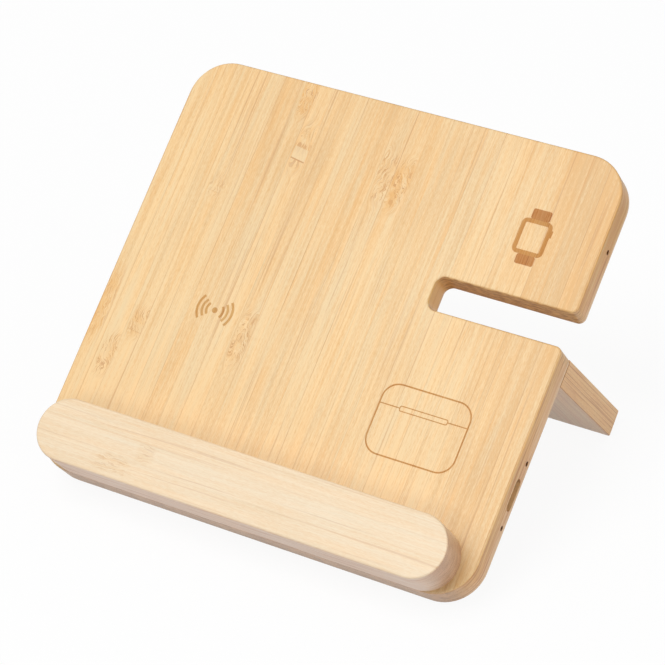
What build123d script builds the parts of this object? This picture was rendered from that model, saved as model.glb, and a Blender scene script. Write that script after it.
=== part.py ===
from build123d import *
import math
import os

# Charging station organizer: a bamboo board that leans back on a leg, with a ledge for a phone,
# a slot for a watch strap and three wireless chargers let into its back.
#
# Every piece is drawn on the board: X runs across it from its middle line, Y runs up its slope from
# its bottom edge and Z stands out of its face, which lies at zero. A depth is measured behind the
# face. The finished pieces are then leaned back together and stood on the table.
# All lengths are in millimetres.

# Board and back panel
board_width = 200.0
board_height = 189.0
board_thickness = 11.4
panel_thickness = 2.0
board_corner_radius = 17.4
edge_rounding = 0.9
back_edge_bevel = 0.7

# Slot for the watch strap, open at the right edge
slot_length = 61.0
slot_bottom = 109.0
slot_width = 14.4
slot_end_radius = 4.0
slot_mouth_radius = 3.0

# Ledge bar along the bottom of the face
lip_side_inset = 6.9
lip_depth = 26.7
lip_height = 18.2
lip_rounding = 0.8

# Rear leg
leg_thickness = 11.7
leg_length = 76.7
leg_below_slot = 0.7
leg_rounding = 0.7
leg_lean_angle = 3.5

# Rubber pads that stand on the table
foot_diameter = 9.0
foot_thickness = 2.0
foot_rounding = 0.7
foot_edge_distance = 5.8
foot_side_inset = 18.0

# Dowels
lip_dowel_diameter = 6.0
lip_dowel_length = 16.0
lip_dowel_in_board = 7.0
lip_dowel_end_inset = 23.1
leg_dowel_diameter = 6.0
leg_dowel_length = 22.0
leg_dowel_in_board = 7.0
leg_dowel_side_inset = 14.0
dowel_clearance = 0.1
dowel_end_clearance = 0.5

# Countersunk screws of the back panel
screw_diameter = 2.6
screw_head_diameter = 5.2
screw_length = 9.0
screw_clearance = 0.1
screw_edge_inset = 5.5
screw_low_height = 18.0
screw_above_circuit = 9.4
screw_top_side_inset = 24.0

# Chargers: the phone's is placed from the left edge and the ledge, the others from the right edge.
# Between ledge and slot, and between slot and top edge, they keep a share of the way.
phone_side_distance = 52.0
phone_above_ledge = 56.3
phone_coil_diameter = 44.0
phone_coil_hole = 20.0
phone_ferrite_diameter = 48.0
earbuds_side_distance = 44.0
earbuds_height_share = 0.417
earbuds_coil_diameter = 28.0
earbuds_coil_hole = 12.0
earbuds_ferrite_diameter = 31.0
watch_side_distance = 29.0
watch_height_share = 0.398
watch_coil_diameter = 22.0
watch_coil_hole = 10.0
watch_ferrite_diameter = 24.0
magnet_diameter = 8.0
skin_thickness = 3.0
coil_thickness = 1.8
ferrite_thickness = 1.0
pocket_clearance = 0.5
notch_edge_margin = 5.0

# Circuit boards
edge_wall = 3.6
circuit_thickness = 1.0
circuit_clearance = 0.3
circuit_panel_gap = 0.4
circuit_ledge = 2.5
component_room = 4.0
component_gap = 0.7
main_circuit_width = 17.4
main_circuit_end_margin = 3.0
main_circuit_up = 48.6
watch_circuit_width = 7.4
watch_circuit_length = 20.0
watch_circuit_height_share = 0.459

# Socket and the recess for its plug
socket_width = 8.9
socket_height = 3.2
socket_depth = 7.3
socket_wall = 0.3
tongue_width = 6.7
tongue_thickness = 0.7
tongue_length = 4.6
recess_length = 13.7
recess_height = 4.8

# Lights at the right edge
light_width = 1.6
light_height = 1.0
light_depth = 0.8
light_hole_diameter = 2.0
light_spacing = 13.7

# Parts on the main circuit board
chip_size = 5.0
chip_height = 0.9
inductor_size = 6.0
inductor_height = 2.8
inductor_rounding = 1.2
capacitor_length = 3.2
capacitor_width = 1.6
capacitor_height = 1.5
capacitor_pitch = 2.2
capacitor_count = 3

# Leads in their grooves
lead_diameter = 1.2
lead_gap = 0.2
lead_side_count = 6
lead_corner_cut = 1.1
lead_depth_share = 0.54
groove_clearance = 0.4
groove_dowel_gap = 4.0
groove_pitch = 5.0
phone_groove_side_distance = 16.0
watch_groove_side_distance = 10.5
slot_end_groove_gap = 9.0
above_slot_groove_gap = 5.6
earbuds_pad_above_socket = 12.4
watch_pad_below_light = 4.0
lead_reach = 4.0

overrun = 1.0
half_turn = 180.0

# Derived places
board_right = board_width / 2
slot_left = board_right - slot_length
slot_top = slot_bottom + slot_width
back_depth = board_thickness + panel_thickness
lip_length = board_width - 2 * lip_side_inset
lip_middle = lip_depth / 2
lean = math.radians(leg_lean_angle)
leg_top = slot_bottom - leg_below_slot
leg_butt_height = leg_thickness / math.cos(lean)
leg_middle = leg_top - leg_butt_height / 2
coil_back_depth = skin_thickness + coil_thickness
main_circuit_depth = board_thickness - circuit_panel_gap - circuit_thickness
lead_depth = coil_back_depth + lead_depth_share * (main_circuit_depth - coil_back_depth)
lead_spacing = lead_diameter + lead_gap
groove_width = lead_spacing + lead_diameter + 2 * groove_clearance
groove_depth = lead_depth - lead_diameter / 2
notch_width = groove_width + 2 * pocket_clearance
watch_circuit_depth = lead_depth + lead_diameter / 2
circuit_right = board_right - edge_wall - circuit_clearance
main_circuit_left = circuit_right - main_circuit_width
main_circuit_length = 2 * (light_spacing + light_width / 2 + circuit_ledge + main_circuit_end_margin)
watch_circuit_up = slot_top + watch_circuit_height_share * (board_height - slot_top)
main_circuit_across = circuit_right - main_circuit_width / 2
watch_circuit_across = circuit_right - watch_circuit_width / 2
main_light_depth = main_circuit_depth - light_height / 2
watch_light_depth = watch_circuit_depth - light_height / 2
socket_mid_depth = main_circuit_depth - socket_height / 2
main_circuit_top = main_circuit_up + main_circuit_length / 2
watch_circuit_bottom = watch_circuit_up - watch_circuit_length / 2

# Dowels and screws, seen from the face
lip_dowel_side = lip_length / 2 - lip_dowel_end_inset
leg_dowel_side = board_right - leg_dowel_side_inset
lip_dowel_places = [(side * lip_dowel_side, lip_middle) for side in (-1, 0, 1)]
leg_dowel_places = [(side * leg_dowel_side, leg_middle) for side in (-1, 0, 1)]
screw_side = board_right - screw_edge_inset
screw_top_side = board_right - screw_top_side_inset
screw_top = board_height - screw_edge_inset
screw_places = [(side * screw_side, screw_low_height) for side in (-1, 1)]
screw_places += [(side * screw_side, main_circuit_top + screw_above_circuit) for side in (-1, 1)]
screw_places += [(side * screw_top_side, screw_top) for side in (-1, 0, 1)]
screw_places += [(0, screw_edge_inset)]

# Lights: name, height up the slope and depth behind the face
lights = [
    ("lower_light", main_circuit_up - light_spacing, main_light_depth),
    ("middle_light", main_circuit_up + light_spacing, main_light_depth),
    ("upper_light", watch_circuit_up, watch_light_depth),
]

# Chargers: name, place across, place up the slope, coil, coil hole and ferrite
phone_across = phone_side_distance - board_right
phone_up = lip_depth + phone_above_ledge
earbuds_across = board_right - earbuds_side_distance
earbuds_up = lip_depth + earbuds_height_share * (slot_bottom - lip_depth)
watch_across = board_right - watch_side_distance
watch_up = slot_top + watch_height_share * (board_height - slot_top)
chargers = [
    ("phone", phone_across, phone_up, phone_coil_diameter, phone_coil_hole, phone_ferrite_diameter),
    ("earbuds", earbuds_across, earbuds_up, earbuds_coil_diameter, earbuds_coil_hole,
     earbuds_ferrite_diameter),
    ("watch", watch_across, watch_up, watch_coil_diameter, watch_coil_hole, watch_ferrite_diameter),
]

# Groove routes, seen from the face. A coil's leads start over the notch of its ferrite.
slot_end_across = slot_left - slot_end_groove_gap
above_slot_up = slot_top + above_slot_groove_gap
watch_groove_up = leg_middle - leg_dowel_diameter / 2 - groove_dowel_gap
phone_groove_up = watch_groove_up - groove_pitch
phone_groove_across = board_right - phone_groove_side_distance
watch_groove_across = board_right - watch_groove_side_distance
main_lead_end = main_circuit_top - lead_reach
notch_start = lead_diameter - notch_edge_margin
phone_route = [
    (phone_across + phone_coil_diameter / 2 + notch_start, phone_up),
    (phone_groove_across, phone_groove_up),
    (phone_groove_across, main_lead_end),
]
earbuds_route = [
    (earbuds_across + earbuds_coil_diameter / 2 + notch_start, earbuds_up),
    (main_circuit_left + lead_reach, main_circuit_up + earbuds_pad_above_socket),
]
watch_coil_route = [
    (watch_across + watch_coil_diameter / 2 + notch_start, watch_up),
    (watch_circuit_across, watch_circuit_up - watch_pad_below_light),
]
watch_board_route = [
    (watch_groove_across, main_lead_end),
    (watch_groove_across, watch_groove_up),
    (slot_end_across, watch_groove_up),
    (slot_end_across, above_slot_up),
    (watch_circuit_across, above_slot_up),
    (watch_circuit_across, watch_circuit_bottom + lead_reach),
]


# Shapes used by several pieces

def board_outline():
    """The board's outline with the strap slot, which the back panel shares."""
    outline = Rectangle(board_width, board_height, align=(Align.CENTER, Align.MIN))
    outline = fillet(outline.vertices(), board_corner_radius)
    slot = Rectangle(slot_length + overrun, slot_width, align=(Align.MIN, Align.MIN))
    slot = fillet(slot.vertices().group_by(Axis.X)[0], slot_end_radius)
    outline -= Pos(slot_left, slot_bottom) * slot
    right_corners = outline.vertices().group_by(Axis.X)[-1].sort_by(Axis.Y)
    return fillet(right_corners[1:3], slot_mouth_radius)


def plate(sketch, front_depth, thickness):
    """A plate whose front lies at a depth behind the face."""
    return extrude(Pos(0, 0, -front_depth - thickness) * sketch, thickness)


def pocket(sketch, floor_depth):
    """The space of a pocket cut from the back of the board down to a floor."""
    height = board_thickness + overrun - floor_depth
    return extrude(Pos(0, 0, -board_thickness - overrun) * sketch, height)


def rod(across, up, front_depth, back, diameter):
    """A round rod that stands square to the board between two depths."""
    return plate(Pos(across, up) * Circle(diameter / 2), front_depth, back - front_depth)


def edge_bore(sketch, up, depth):
    """A cut through the wall at the right edge, along X."""
    start = Plane(origin=(board_right - edge_wall - overrun, up, -depth), x_dir=(0, 1, 0), z_dir=(1, 0, 0))
    return extrude(start * sketch, edge_wall + 2 * overrun)


def groove(route):
    """A routed groove: a round-ended stretch between each two points of its route."""
    stretches = []
    for start, end in zip(route, route[1:]):
        run = Vector(*end) - Vector(*start)
        middle = (Vector(*start) + Vector(*end)) / 2
        turn = math.degrees(math.atan2(run.Y, run.X))
        stretches.append(Pos(middle) * Rot(0, 0, turn) * SlotCenterToCenter(run.length, groove_width))
    return pocket(Sketch() + stretches, groove_depth)


def ferrite_outline(ferrite_diameter, coil_diameter):
    """A disc with a notch at its right, where the leads reach the coil."""
    disc = Circle(ferrite_diameter / 2)
    notch_start = coil_diameter / 2 - notch_edge_margin
    notch = Rectangle(ferrite_diameter, notch_width, align=(Align.MIN, Align.CENTER))
    return disc - Pos(notch_start, 0) * notch


def circuit_pocket(across, up, width, length, depth):
    """A stepped pocket: a ledge that carries the circuit board and room for the parts in front of it."""
    seat = Rectangle(width + 2 * circuit_clearance, length + 2 * circuit_clearance)
    room = Rectangle(width + circuit_clearance - circuit_ledge, length - 2 * circuit_ledge)
    room_across = across + (circuit_ledge + circuit_clearance) / 2
    seat_cut = pocket(Pos(across, up) * seat, depth)
    return seat_cut + pocket(Pos(room_across, up) * room, depth - component_room)


def lead_pair(route, start_depth, end_depth):
    """Two wires side by side along a route, lying on the groove's floor between their soldered ends."""
    points = [(*route[0], -start_depth)] if start_depth else []
    points += [(x, y, -lead_depth) for x, y in route]
    points += [(*route[-1], -end_depth)] if end_depth else []
    path = Polyline(*corners_cut(points))
    start = Plane(origin=path @ 0, x_dir=side_of(points), z_dir=path % 0)
    wires = []
    for side in (-1, 1):
        wire = RegularPolygon(lead_diameter / 2, lead_side_count, rotation=half_turn / lead_side_count)
        section = start * Pos(side * lead_spacing / 2, 0) * wire
        wires.append(sweep(section, path, transition=Transition.RIGHT))
    return wires


def corners_cut(points):
    """A route on which each inner corner is cut across, as far before the corner as after it."""
    corners = [Vector(*point) for point in points]
    route = corners[:1]
    for before, corner, after in zip(corners, corners[1:], corners[2:]):
        route.append(corner + (before - corner).normalized() * lead_corner_cut)
        route.append(corner + (after - corner).normalized() * lead_corner_cut)
    return route + corners[-1:]


def side_of(points):
    """The level direction square to the first level run of a route."""
    runs = [Vector(*b) - Vector(*a) for a, b in zip(points, points[1:])]
    level = [run for run in runs if abs(run.X) + abs(run.Y) > 0][0]
    return Vector(-level.Y, level.X, 0).normalized()


# Bamboo pieces

def front_board():
    body = plate(board_outline(), 0, board_thickness)
    face_edges = body.faces().sort_by(Axis.Z)[-1].edges()
    body = fillet(face_edges, edge_rounding)
    for name, across, up, coil, hole, ferrite in chargers:
        radius = ferrite / 2 + pocket_clearance
        body -= pocket(Pos(across, up) * Circle(radius), skin_thickness)
    body -= circuit_pocket(main_circuit_across, main_circuit_up, main_circuit_width, main_circuit_length,
                           main_circuit_depth)
    body -= circuit_pocket(watch_circuit_across, watch_circuit_up, watch_circuit_width,
                           watch_circuit_length, watch_circuit_depth)
    for route in (phone_route, earbuds_route, watch_coil_route, watch_board_route):
        body -= groove(route)
    body -= edge_bore(SlotOverall(recess_length, recess_height), main_circuit_up, socket_mid_depth)
    for name, up, depth in lights:
        body -= edge_bore(Circle(light_hole_diameter / 2), up, depth)
    for across, up in lip_dowel_places:
        body -= rod(across, up, -overrun, lip_dowel_in_board + dowel_end_clearance,
                    lip_dowel_diameter + 2 * dowel_clearance)
    leg_hole_depth = board_thickness - leg_dowel_in_board - dowel_end_clearance
    for across, up in leg_dowel_places:
        body -= rod(across, up, leg_hole_depth, board_thickness + overrun,
                    leg_dowel_diameter + 2 * dowel_clearance)
    for across, up in screw_places:
        body -= rod(across, up, back_depth - screw_length - screw_clearance, board_thickness + overrun,
                    screw_diameter + 2 * screw_clearance)
    return body


def back_panel():
    body = plate(board_outline(), board_thickness, panel_thickness)
    back_edges = body.faces().sort_by(Axis.Z)[0].edges()
    body = chamfer(back_edges, back_edge_bevel)
    for across, up in leg_dowel_places:
        body -= rod(across, up, board_thickness - overrun, back_depth + overrun,
                    leg_dowel_diameter + 2 * dowel_clearance)
    for across, up in screw_places:
        body -= screw(across, up, screw_clearance)
    return body


def front_lip():
    bar = extrude(Pos(0, lip_middle) * SlotOverall(lip_length, lip_depth), lip_height)
    top_edges = bar.faces().sort_by(Axis.Z)[-1].edges()
    bar = fillet(top_edges, lip_rounding)
    seat = lip_dowel_length - lip_dowel_in_board
    for across, up in lip_dowel_places:
        bar -= rod(across, up, -seat, overrun, lip_dowel_diameter + 2 * dowel_clearance)
    return bar


def leg_corners():
    """The leg's side outline on the Y and Z axes: top and bottom of its butt, then of its foot."""
    along = Vector(0, math.sin(lean), -math.cos(lean))
    across = Vector(0, math.cos(lean), math.sin(lean))
    butt_top = Vector(0, leg_top, -back_depth)
    butt_bottom = Vector(0, leg_top - leg_butt_height, -back_depth)
    foot_top = butt_top + along * leg_length
    foot_bottom = foot_top - across * leg_thickness
    return butt_top, butt_bottom, foot_bottom, foot_top


def rear_leg():
    outline = make_face(Polyline(*leg_corners(), close=True).edges())
    body = extrude(outline, board_width / 2, dir=(1, 0, 0), both=True)
    butt = body.faces().sort_by(Axis.Z)[-1]
    butt_edges = butt.edges()
    free_edges = [edge for edge in body.edges() if edge not in butt_edges]
    body = fillet(free_edges, leg_rounding)
    seat = leg_dowel_length - leg_dowel_in_board - panel_thickness
    for across, up in leg_dowel_places:
        body -= rod(across, up, back_depth - overrun, back_depth + seat,
                    leg_dowel_diameter + 2 * dowel_clearance)
    return body


# Fasteners and feet

def screw(across, up, clearance):
    """A countersunk screw, or with a clearance the hole that it takes in the panel."""
    head = screw_head_diameter / 2 + clearance
    shank = screw_diameter / 2 + clearance
    cone_height = head - shank
    head_depth = back_depth - cone_height
    body = rod(across, up, back_depth - screw_length - clearance, back_depth, 2 * shank)
    cone_place = Pos(across, up, -head_depth - cone_height / 2)
    return body + cone_place * Cone(head, shank, cone_height)


def lip_dowels():
    bottom = lip_dowel_in_board
    top = lip_dowel_in_board - lip_dowel_length
    return [rod(across, up, top, bottom, lip_dowel_diameter) for across, up in lip_dowel_places]


def leg_dowels():
    start = board_thickness - leg_dowel_in_board
    end = start + leg_dowel_length
    return [rod(across, up, start, end, leg_dowel_diameter) for across, up in leg_dowel_places]


def panel_screws():
    return [screw(across, up, 0) for across, up in screw_places]


def foot_pair(base):
    """Two round pads on a flat face, whose plane has its origin midway between them."""
    pads = []
    for side in (-1, 1):
        pad = extrude(base * Pos(side * (board_right - foot_side_inset), 0) * Circle(foot_diameter / 2),
                      foot_thickness)
        outer = pad.faces().sort_by(Axis(base.origin, base.z_dir))[-1]
        pads.append(fillet(outer.edges(), foot_rounding))
    return pads


def board_foot_plane():
    return Plane(origin=(0, foot_edge_distance, -back_depth), x_dir=(1, 0, 0), z_dir=(0, 0, -1))


def leg_foot_plane():
    butt_top, butt_bottom, foot_bottom, foot_top = leg_corners()
    along = (foot_top - butt_top).normalized()
    across = (foot_top - foot_bottom).normalized()
    return Plane(origin=foot_bottom + across * foot_edge_distance, x_dir=(1, 0, 0), z_dir=along)


# Chargers and electronics

def coil(across, up, coil_diameter, coil_hole):
    ring = Circle(coil_diameter / 2) - Circle(coil_hole / 2)
    return plate(Pos(across, up) * ring, skin_thickness, coil_thickness)


def ferrite_sheet(across, up, coil_diameter, ferrite_diameter):
    outline = ferrite_outline(ferrite_diameter, coil_diameter)
    return plate(Pos(across, up) * outline, coil_back_depth, ferrite_thickness)


def watch_magnet():
    return rod(watch_across, watch_up, skin_thickness, coil_back_depth, magnet_diameter)


def main_circuit_board():
    outline = Rectangle(main_circuit_width, main_circuit_length)
    return plate(Pos(main_circuit_across, main_circuit_up) * outline, main_circuit_depth, circuit_thickness)


def watch_circuit_board():
    outline = Rectangle(watch_circuit_width, watch_circuit_length)
    return plate(Pos(watch_circuit_across, watch_circuit_up) * outline, watch_circuit_depth,
                 circuit_thickness)


def socket_plane(inset):
    """The socket's mouth, or a place further in, with X up the slope and Z out of the right edge."""
    return Plane(origin=(circuit_right - inset, main_circuit_up, -socket_mid_depth), x_dir=(0, 1, 0),
                 z_dir=(1, 0, 0))


def usb_socket_shell():
    outside = extrude(socket_plane(socket_depth) * SlotOverall(socket_width, socket_height), socket_depth)
    bore = SlotOverall(socket_width - 2 * socket_wall, socket_height - 2 * socket_wall)
    inside_length = socket_depth - socket_wall
    return outside - extrude(socket_plane(inside_length) * bore, inside_length + overrun)


def usb_socket_tongue():
    section = Rectangle(tongue_width, tongue_thickness)
    return extrude(socket_plane(socket_depth - socket_wall) * section, tongue_length)


def light(up, depth):
    section = Pos(circuit_right - light_depth / 2, up) * Rectangle(light_depth, light_width)
    return plate(section, depth - light_height / 2, light_height)


def component(across, up, sketch, height):
    """A part that stands on the front of the main circuit board."""
    return plate(Pos(across, up) * sketch, main_circuit_depth - height, height)


def controller_chip():
    """The chip, above the socket."""
    up = main_circuit_up + socket_width / 2 + component_gap + chip_size / 2
    return component(main_circuit_across, up, Rectangle(chip_size, chip_size), chip_height)


def power_inductor():
    """The inductor, below the socket and beside the pocket's ledge."""
    across = main_circuit_left + circuit_ledge + component_gap + inductor_size / 2
    up = main_circuit_up - socket_width / 2 - component_gap - inductor_size / 2
    outline = RectangleRounded(inductor_size, inductor_size, inductor_rounding)
    return component(across, up, outline, inductor_height)


def tuning_capacitors():
    """A row of capacitors below the socket, clear of the light at the board's edge."""
    across = circuit_right - light_depth - component_gap - capacitor_length / 2
    first_up = main_circuit_up - socket_width / 2 - component_gap - capacitor_width / 2
    outline = Rectangle(capacitor_length, capacitor_width)
    return [component(across, first_up - step * capacitor_pitch, outline, capacitor_height)
            for step in range(capacitor_count)]


# Assembly

def leaned_back():
    """The turn that sets the pads of board and leg level on the table."""
    reach = foot_diameter / 2 - foot_rounding
    drop = foot_thickness - foot_rounding
    touches = []
    for base in (board_foot_plane(), leg_foot_plane()):
        down_slope = base.z_dir.cross(Vector(1, 0, 0)).normalized()
        if down_slope.Y > 0:
            down_slope = -down_slope
        touches.append(base.origin + base.z_dir * drop + down_slope * reach)
    run = touches[1] - touches[0]
    return math.degrees(math.atan2(-run.Z, run.Y))


def all_pieces():
    pieces = {
        "front_board": [front_board()],
        "back_panel": [back_panel()],
        "front_lip": [front_lip()],
        "rear_leg": [rear_leg()],
        "lip_dowels": lip_dowels(),
        "leg_dowels": leg_dowels(),
        "panel_screws": panel_screws(),
        "board_feet": foot_pair(board_foot_plane()),
        "leg_feet": foot_pair(leg_foot_plane()),
        "watch_magnet": [watch_magnet()],
        "main_circuit_board": [main_circuit_board()],
        "watch_circuit_board": [watch_circuit_board()],
        "usb_socket_shell": [usb_socket_shell()],
        "usb_socket_tongue": [usb_socket_tongue()],
        "controller_chip": [controller_chip()],
        "power_inductor": [power_inductor()],
        "tuning_capacitors": tuning_capacitors(),
        "phone_leads": lead_pair(phone_route, coil_back_depth, main_circuit_depth),
        "earbuds_leads": lead_pair(earbuds_route, coil_back_depth, main_circuit_depth),
        "watch_coil_leads": lead_pair(watch_coil_route, coil_back_depth, 0),
        "watch_board_leads": lead_pair(watch_board_route, main_circuit_depth, 0),
    }
    for name, across, up, coil_diameter, coil_hole, ferrite_diameter in chargers:
        pieces[name + "_coil"] = [coil(across, up, coil_diameter, coil_hole)]
        pieces[name + "_ferrite"] = [ferrite_sheet(across, up, coil_diameter, ferrite_diameter)]
    for name, up, depth in lights:
        pieces[name] = [light(up, depth)]
    return pieces


def solid_of(shape):
    """The one solid of a finished shape, or all of them where a node is a group."""
    solids = shape.solids()
    return solids[0] if len(solids) == 1 else Compound(children=list(solids))


def stood_on_table(pieces):
    """All nodes leaned back, on the table and centred over the origin."""
    turn = Rot(leaned_back(), 0, 0)
    leaned = {name: turn * Compound(children=[s for shape in shapes for s in shape.solids()])
              for name, shapes in pieces.items()}
    box = Compound(children=list(leaned.values())).bounding_box()
    centre = box.center()
    place = Pos(-centre.X, -centre.Y, -box.min.Z)
    return {name: place * shape for name, shape in leaned.items()}


def write_parts():
    os.makedirs("parts", exist_ok=True)
    for name, shape in stood_on_table(all_pieces()).items():
        export_step(solid_of(shape), "parts/" + name + ".step")


write_parts()
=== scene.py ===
import math
from collections import namedtuple

import bmesh
import bpy
from mathutils import Matrix, Vector


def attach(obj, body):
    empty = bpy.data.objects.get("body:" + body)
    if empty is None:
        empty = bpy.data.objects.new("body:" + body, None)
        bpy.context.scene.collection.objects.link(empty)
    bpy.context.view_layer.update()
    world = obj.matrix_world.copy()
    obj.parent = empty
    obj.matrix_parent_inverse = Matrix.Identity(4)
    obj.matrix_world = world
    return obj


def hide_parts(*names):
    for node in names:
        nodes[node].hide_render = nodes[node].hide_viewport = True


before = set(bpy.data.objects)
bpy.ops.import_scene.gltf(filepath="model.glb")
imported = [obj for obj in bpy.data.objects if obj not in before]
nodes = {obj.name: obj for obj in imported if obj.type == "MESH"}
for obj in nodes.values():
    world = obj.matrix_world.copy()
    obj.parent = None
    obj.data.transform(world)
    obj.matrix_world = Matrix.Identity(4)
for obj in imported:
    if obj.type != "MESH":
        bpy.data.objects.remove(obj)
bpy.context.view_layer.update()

scene = bpy.context.scene

# Places on the board are in millimetres: across from its left edge, up the slope from its bottom edge
# and out of its face.
MM = 0.001
LEAN = math.radians(37.26992)
BOARD_WIDTH = 200.0
BOARD_HEIGHT = 189.0
BOARD_BACK = 13.4
BOARD_START = (0.0, -73.72886, 11.18699)
BOARD_TO_WORLD = (Matrix.Scale(MM, 4) @ Matrix.Translation(BOARD_START)
                  @ Matrix.Rotation(LEAN, 4, "X") @ Matrix.Translation((-BOARD_WIDTH / 2, 0.0, 0.0)))
WORLD_TO_BOARD = BOARD_TO_WORLD.inverted()

SLOT_LENGTH = 61.0
SLOT_START = BOARD_WIDTH - SLOT_LENGTH
SLOT_BOTTOM = 109.0
SLOT_TOP = SLOT_BOTTOM + 14.4
LIP_INSET = 6.9
LIP_RADIUS = 13.35
LIP_START = LIP_INSET + LIP_RADIUS
LIP_END = BOARD_WIDTH - LIP_START
SOCKET_UP = 48.6

# The leg's places: across, down its length from the panel and out of its upper face
LEG_LEAN = math.radians(3.5)
LEG_TOP = SLOT_BOTTOM - 0.7
LEG_TO_BOARD = (Matrix.Translation((0.0, LEG_TOP, -BOARD_BACK))
                @ Matrix.Rotation(-math.pi / 2 + LEG_LEAN, 4, "X"))
WORLD_TO_LEG = (BOARD_TO_WORLD @ LEG_TO_BOARD).inverted()


def middle_of(name):
    """Where a piece's middle is on the board."""
    to_board = WORLD_TO_BOARD @ nodes[name].matrix_world
    return sum((to_board @ Vector(corner) for corner in nodes[name].bound_box), Vector()) / 8.0


LIGHT_HOLES = [middle_of(name) for name in ("lower_light", "middle_light", "upper_light")]


# Node trees

WHITE = (1.0, 1.0, 1.0, 1.0)


def linear(red, green, blue):
    """A colour as the eye sees it, in shares of 255, on the shader's own scale."""
    def one(value):
        value /= 255.0
        return value / 12.92 if value <= 0.04045 else ((value + 0.055) / 1.055) ** 2.4
    return one(red), one(green), one(blue), 1.0


class Tree:
    """A node tree whose nodes are added and joined by short calls."""

    def __init__(self, tree):
        self.tree = tree

    def join(self, value, socket):
        if isinstance(value, bpy.types.NodeSocket):
            self.tree.links.new(value, socket)
        elif value is not None:
            socket.default_value = value

    def node(self, kind, *values, named=(), **settings):
        node = self.tree.nodes.new(kind)
        for key, setting in settings.items():
            setattr(node, key, setting)
        for value, socket in zip(values, node.inputs):
            self.join(value, socket)
        for key, value in dict(named).items():
            self.join(value, node.inputs[key])
        return node

    def math(self, operation, *values, clamp=False):
        return self.node("ShaderNodeMath", *values, operation=operation, use_clamp=clamp).outputs[0]

    def times(self, *values):
        total = values[0]
        for value in values[1:]:
            total = self.math("MULTIPLY", total, value)
        return total

    def plus(self, *values, clamp=False):
        total = values[0]
        for value in values[1:-1]:
            total = self.math("ADD", total, value)
        return self.math("ADD", total, values[-1], clamp=clamp)

    def minus(self, first, second):
        return self.math("SUBTRACT", first, second)

    def scaled(self, value, scale, start, clamp=False):
        """A value times a scale, on top of a start."""
        return self.math("MULTIPLY_ADD", value, scale, start, clamp=clamp)

    def size_of(self, value):
        return self.math("ABSOLUTE", value)

    def point(self, x, y, z):
        return self.node("ShaderNodeCombineXYZ", x, y, z).outputs[0]

    def finds_white(self):
        """1 for the camera's rays, and for mirrored and see-through ones."""
        ray = self.node("ShaderNodeLightPath").outputs
        mirrored = self.math("MAXIMUM", ray["Is Glossy Ray"], ray["Is Transmission Ray"])
        return self.math("MAXIMUM", ray["Is Camera Ray"], mirrored)


class Finish(Tree):
    """A material: nodes joined to a Principled shader."""

    def __init__(self, name, roughness=0.5, specular=0.5, metallic=0.0):
        self.material = bpy.data.materials.new(name)
        self.material.use_nodes = True
        super().__init__(self.material.node_tree)
        self.shader = self.tree.nodes["Principled BSDF"]
        self.shader.inputs["Roughness"].default_value = roughness
        self.shader.inputs["Specular IOR Level"].default_value = specular
        self.shader.inputs["Metallic"].default_value = metallic

    def seen_in(self, matrix):
        """Object coordinates carried into another frame."""
        location, turn, scale = matrix.decompose()
        seen = self.node("ShaderNodeTexCoord").outputs["Object"]
        places = {"Location": location, "Rotation": turn.to_euler(), "Scale": scale}
        return self.node("ShaderNodeMapping", seen, named=places).outputs[0]

    def parts(self, vector):
        return self.node("ShaderNodeSeparateXYZ", vector).outputs

    def distance(self, first, second):
        return self.node("ShaderNodeVectorMath", first, second, operation="DISTANCE").outputs["Value"]

    def noise(self, vector, detail=2.0, roughness=0.5, scale=1.0):
        values = {"Vector": vector, "Scale": scale, "Detail": detail, "Roughness": roughness}
        return self.node("ShaderNodeTexNoise", named=values).outputs["Fac"]

    def luck(self, number):
        """A share that luck gives to a number, such as a strip's."""
        named = {"W": number}
        return self.node("ShaderNodeTexWhiteNoise", named=named, noise_dimensions="1D").outputs["Value"]

    def step(self, value, start, end, low=0.0, high=1.0):
        """A soft step from low at start to high at end."""
        named = {"Value": value, "From Min": start, "From Max": end, "To Min": low, "To Max": high}
        node = self.node("ShaderNodeMapRange", named=named, interpolation_type="SMOOTHSTEP")
        return node.outputs["Result"]

    def mix(self, share, first, second, blend="MIX"):
        node = self.node("ShaderNodeMix", share, data_type="RGBA", blend_type=blend)
        self.join(first, node.inputs[6])
        self.join(second, node.inputs[7])
        return node.outputs[2]

    def finish(self, colour, roughness, height, strength, depth):
        """Joins colour, roughness and a bump whose depth is in millimetres."""
        relief = {"Strength": strength, "Distance": depth * MM, "Height": height}
        bump = self.node("ShaderNodeBump", named=relief)
        self.join(colour, self.shader.inputs["Base Color"])
        self.join(roughness, self.shader.inputs["Roughness"])
        self.join(bump.outputs[0], self.shader.inputs["Normal"])
        return self.material


# Bamboo. The scales of its patterns are per millimetre. A pair of numbers says where something fades:
# there is nothing of it at the first, and all of it at the second.

Shades = namedtuple("Shades", "pale warm dark dark_warm seam stain end end_dark")
SideTints = namedtuple("SideTints", "near far high streaks", defaults=(1.0,))
Plies = namedtuple("Plies", "thickness bend strength half_line")
CaneNode = namedtuple("CaneNode", "across up half_width half_height strength stain rise swerve slant "
                      "chevron", defaults=(0.0, 4.5, 0.0, 0.0))

# Ways that a surface can face, and how squarely it does so where it counts as a side, an end or the face
ACROSS, ALONG, OUTWARD = range(3)
SIDE_FACING = (0.6, 0.98)
END_FACING = (0.35, 0.95)
FACE_FACING = (0.6, 0.9)

# How far fibres sway, and how far apart in the noise two strips may lie, so that no two look the same
SWAY = 1.2
STRIP_SHIFT_ALONG = 700.0
STRIP_SHIFT_DEEP = 90.0
STRIP_SHIFT_HUE = 9.0

# Starts of the draws of luck
SHADE_DRAW = 0.31
HUE_DRAW = 57.7
JOINT_DRAW = 11.9
PLY_DRAW = 5.0

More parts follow.
